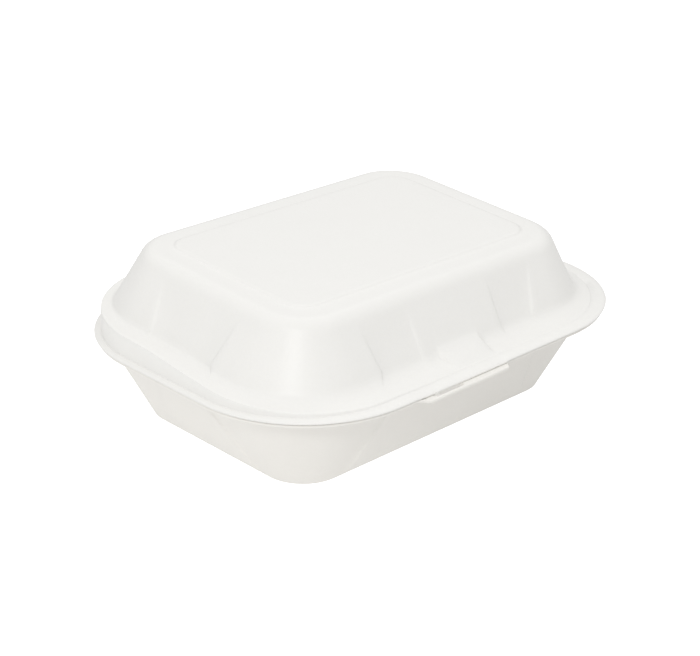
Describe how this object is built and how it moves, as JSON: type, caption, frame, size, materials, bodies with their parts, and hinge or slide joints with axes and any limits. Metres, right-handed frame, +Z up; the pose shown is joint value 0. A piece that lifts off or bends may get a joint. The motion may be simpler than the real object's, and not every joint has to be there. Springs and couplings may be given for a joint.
{
  "type": "foam clamshell container",
  "caption": "White hinged clamshell food container with a flanged tray, a raised lid with panelled walls and a front latch tab.",
  "frame": {"origin": "middle of the face that the tray stands on", "axes": "+Z up, +X along the rim to the right seen from the latch, +Y from the latch to the hinge"},
  "size_m": [0.183, 0.1434, 0.0672],
  "materials": {
    "sheet": "matte, faintly grained"
  },
  "bodies": {
    "tray": {"tray": "sheet"},
    "lid": {"lid": "sheet"}
  },
  "joints": [
    {"name": "lid_hinge", "type": "hinge", "parent": "tray", "child": "lid", "pos_m": [0, 0.0678, 0.0357], "axis": [-1, 0, 0], "range_deg": [0, 180]}
  ]
}
